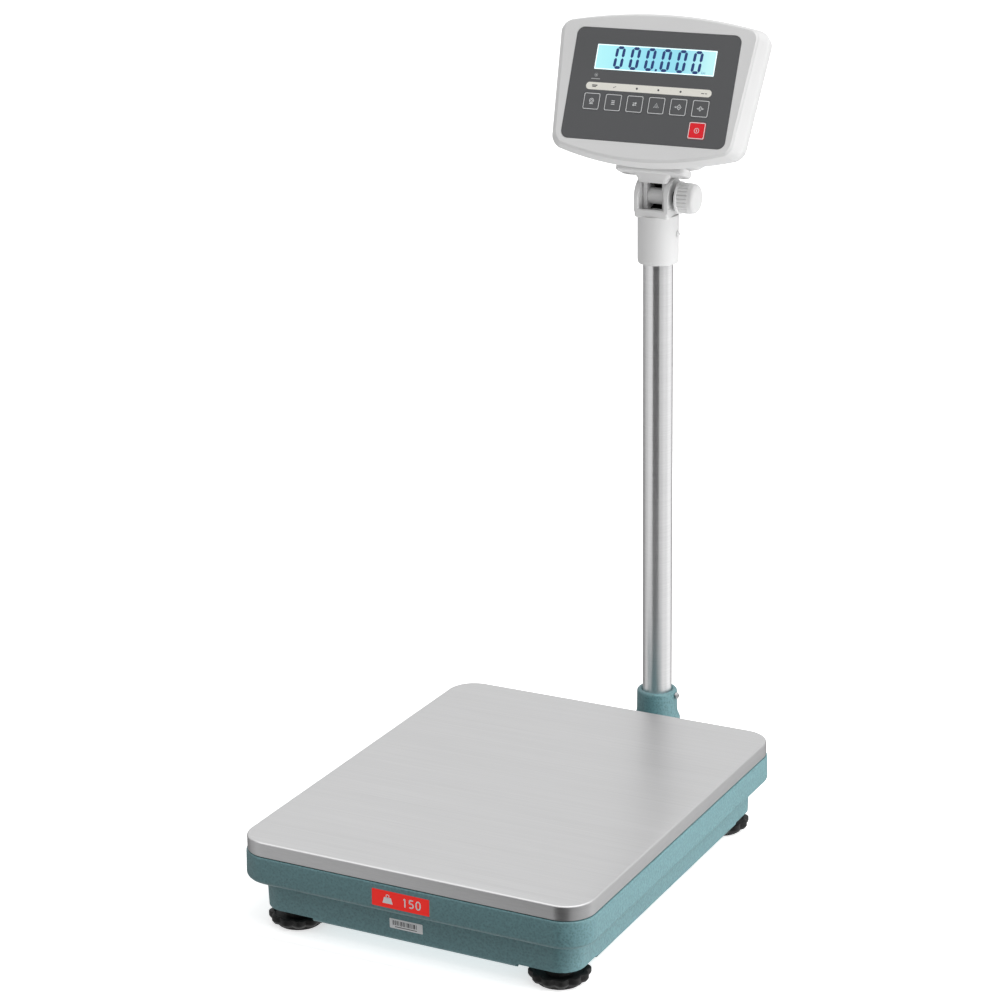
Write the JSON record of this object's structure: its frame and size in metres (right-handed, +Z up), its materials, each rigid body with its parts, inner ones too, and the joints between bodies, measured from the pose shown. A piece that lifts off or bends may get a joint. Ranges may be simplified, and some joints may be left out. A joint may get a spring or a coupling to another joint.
{
  "type": "bench scale",
  "caption": "Bench scale: a flat steel platter on a cast base with levelling feet, and a tilting display with keys on a column behind it.",
  "frame": {"origin": "on the floor, under the middle of the scale's bounding box", "axes": "+X along the platter's front edge to the right, +Y from the front edge back to the column, +Z up"},
  "size_m": [0.404, 0.6864, 0.8845],
  "materials": {
    "hammer_paint": "hammered",
    "brushed_steel": "brushed",
    "tube_steel": "polished",
    "cast_alloy": "as cast",
    "plated_steel": "zinc plated",
    "grey_plastic": "satin",
    "panel_film": "satin film",
    "red_key": "satin film",
    "display": "lit",
    "circuit_board": "lacquered",
    "black_plastic": "satin",
    "rubber": "matte"
  },
  "bodies": {
    "base": {"base_casting": "hammer_paint", "column_arm": "hammer_paint", "column_tube": "tube_steel", "load_cell": "cast_alloy", "spider_frame": "cast_alloy", "cell_seat_plate": "plated_steel", "cell_top_plate": "plated_steel", "base_cell_bolt_1": "plated_steel", "base_cell_bolt_2": "plated_steel", "spider_cell_bolt_1": "plated_steel", "spider_cell_bolt_2": "plated_steel", "overload_stop_1": "plated_steel", "overload_stop_2": "plated_steel", "arm_bolt_1": "plated_steel", "arm_bolt_2": "plated_steel", "socket_screw": "plated_steel", "tilt_bolt": "plated_steel", "yoke_screw": "grey_plastic", "head_yoke": "grey_plastic", "cable_grommet": "rubber", "cell_cable": "rubber", "platter_pad_1": "rubber", "platter_pad_2": "rubber", "platter_pad_3": "rubber", "platter_pad_4": "rubber"},
    "platter": {"platter": "brushed_steel"},
    "display_head": {"tilt_bracket": "grey_plastic", "hinge_sleeve": "grey_plastic", "front_housing": "grey_plastic", "rear_housing": "grey_plastic", "keypad_overlay": "panel_film", "lcd_display": "display", "main_board": "circuit_board", "battery": "black_plastic", "housing_screw_1": "plated_steel", "housing_screw_2": "plated_steel", "housing_screw_3": "plated_steel", "housing_screw_4": "plated_steel", "power_jack": "black_plastic", "cable_gland": "black_plastic", "bracket_screw_1": "grey_plastic", "bracket_screw_2": "grey_plastic"},
    "knob_carrier": {"knob_washer": "black_plastic"},
    "knob": {"tilt_knob": "grey_plastic"},
    "print_key": {"key_print": "panel_film"},
    "function_key": {"key_function": "panel_film"},
    "unit_key": {"key_unit": "panel_film"},
    "total_key": {"key_total": "panel_film"},
    "tare_key": {"key_tare": "panel_film"},
    "zero_key": {"key_zero": "panel_film"},
    "power_key": {"key_power": "red_key"},
    "sole_1": {"foot_sole_1": "rubber"},
    "wheel_1": {"foot_wheel_1": "black_plastic"},
    "sole_2": {"foot_sole_2": "rubber"},
    "wheel_2": {"foot_wheel_2": "black_plastic"},
    "sole_3": {"foot_sole_3": "rubber"},
    "wheel_3": {"foot_wheel_3": "black_plastic"},
    "sole_4": {"foot_sole_4": "rubber"},
    "wheel_4": {"foot_wheel_4": "black_plastic"}
  },
  "joints": [
    {"name": "platter_lift", "type": "slide", "parent": "base", "child": "platter", "axis": [0, 0, 1], "range_m": [0, 0.12]},
    {"name": "display_tilt", "type": "hinge", "parent": "base", "child": "display_head", "pos_m": [0, 0.27852, 0.682], "axis": [1, 0, 0], "range_deg": [-25, 35]},
    {"name": "knob_out", "type": "slide", "parent": "base", "child": "knob_carrier", "axis": [1, 0, 0], "range_m": [0, 0.00125]},
    {"name": "knob_turn", "type": "hinge", "parent": "knob_carrier", "child": "knob", "pos_m": [0, 0.27852, 0.682], "axis": [1, 0, 0], "range_deg": [0, 360.5]},
    {"name": "print_press", "type": "slide", "parent": "display_head", "child": "print_key", "axis": [0, 0.9216, -0.3882], "range_m": [0, 0.0005], "stiffness_N_per_m": 2500},
    {"name": "function_press", "type": "slide", "parent": "display_head", "child": "function_key", "axis": [0, 0.9216, -0.3882], "range_m": [0, 0.0005], "stiffness_N_per_m": 2500},
    {"name": "unit_press", "type": "slide", "parent": "display_head", "child": "unit_key", "axis": [0, 0.9216, -0.3882], "range_m": [0, 0.0005], "stiffness_N_per_m": 2500},
    {"name": "total_press", "type": "slide", "parent": "display_head", "child": "total_key", "axis": [0, 0.9216, -0.3882], "range_m": [0, 0.0005], "stiffness_N_per_m": 2500},
    {"name": "tare_press", "type": "slide", "parent": "display_head", "child": "tare_key", "axis": [0, 0.9216, -0.3882], "range_m": [0, 0.0005], "stiffness_N_per_m": 2500},
    {"name": "zero_press", "type": "slide", "parent": "display_head", "child": "zero_key", "axis": [0, 0.9216, -0.3882], "range_m": [0, 0.0005], "stiffness_N_per_m": 2500},
    {"name": "power_press", "type": "slide", "parent": "display_head", "child": "power_key", "axis": [0, 0.9216, -0.3882], "range_m": [0, 0.0005], "stiffness_N_per_m": 2500},
    {"name": "foot_1_drop", "type": "slide", "parent": "base", "child": "sole_1", "axis": [0, 0, -1], "range_m": [-0.003, 0.0105]},
    {"name": "foot_1_turn", "type": "hinge", "parent": "sole_1", "child": "wheel_1", "pos_m": [-0.1533, -0.29598, 0.012], "axis": [0, 0, -1], "range_deg": [-720.5, 2520.5]},
    {"name": "foot_2_drop", "type": "slide", "parent": "base", "child": "sole_2", "axis": [0, 0, -1], "range_m": [-0.003, 0.0105]},
    {"name": "foot_2_turn", "type": "hinge", "parent": "sole_2", "child": "wheel_2", "pos_m": [0.1533, -0.29598, 0.012], "axis": [0, 0, -1], "range_deg": [-720.5, 2520.5]},
    {"name": "foot_3_drop", "type": "slide", "parent": "base", "child": "sole_3", "axis": [0, 0, -1], "range_m": [-0.003, 0.0105]},
    {"name": "foot_3_turn", "type": "hinge", "parent": "sole_3", "child": "wheel_3", "pos_m": [-0.1533, 0.11362, 0.012], "axis": [0, 0, -1], "range_deg": [-720.5, 2520.5]},
    {"name": "foot_4_drop", "type": "slide", "parent": "base", "child": "sole_4", "axis": [0, 0, -1], "range_m": [-0.003, 0.0105]},
    {"name": "foot_4_turn", "type": "hinge", "parent": "sole_4", "child": "wheel_4", "pos_m": [0.1533, 0.11362, 0.012], "axis": [0, 0, -1], "range_deg": [-720.5, 2520.5]}
  ],
  "couplings": [
    {"joint": "knob_turn", "follows": "knob_out", "rad_per_m": 5026.5},
    {"joint": "foot_1_turn", "follows": "foot_1_drop", "rad_per_m": 4188.8},
    {"joint": "foot_2_turn", "follows": "foot_2_drop", "rad_per_m": 4188.8},
    {"joint": "foot_3_turn", "follows": "foot_3_drop", "rad_per_m": 4188.8},
    {"joint": "foot_4_turn", "follows": "foot_4_drop", "rad_per_m": 4188.8}
  ]
}
